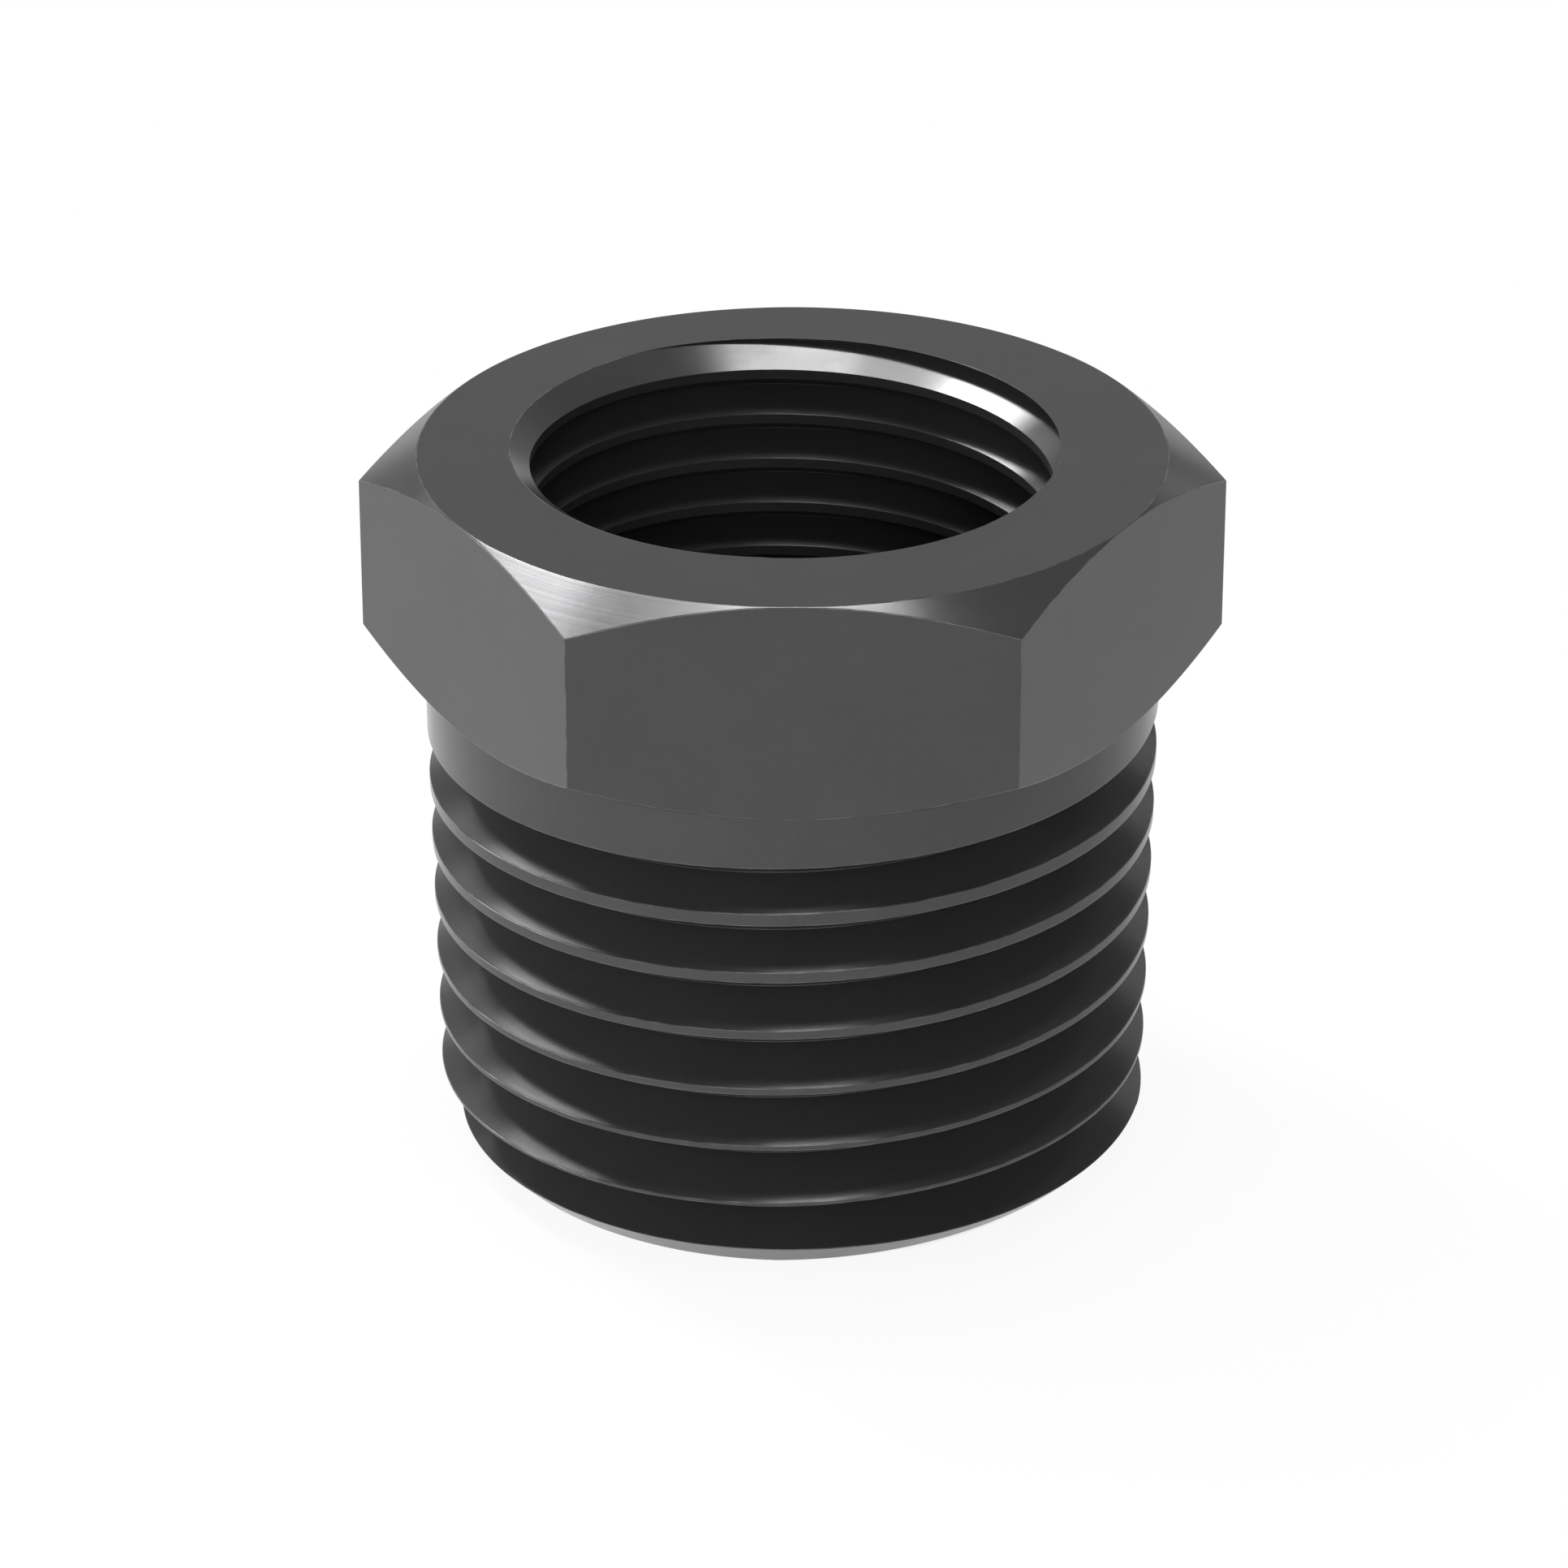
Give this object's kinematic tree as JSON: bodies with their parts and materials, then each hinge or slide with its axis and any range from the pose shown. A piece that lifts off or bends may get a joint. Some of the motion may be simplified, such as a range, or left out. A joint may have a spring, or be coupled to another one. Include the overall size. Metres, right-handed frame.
{
  "type": "threaded reducer bushing",
  "caption": "Hexagon-headed pipe reducer for air lines, with a tapered male thread around the shank and a smaller female thread inside the head.",
  "frame": {"origin": "on the axis, in the plane of the small end face that the part stands on", "axes": "+Z along the axis from the small end towards the hexagon, -Y out of the hexagon flat that faces the viewer"},
  "size_m": [0.0246, 0.0214, 0.0211],
  "materials": {
    "blackened_steel": "satin"
  },
  "bodies": {
    "root": {"reducer_bushing": "blackened_steel"}
  },
  "joints": []
}
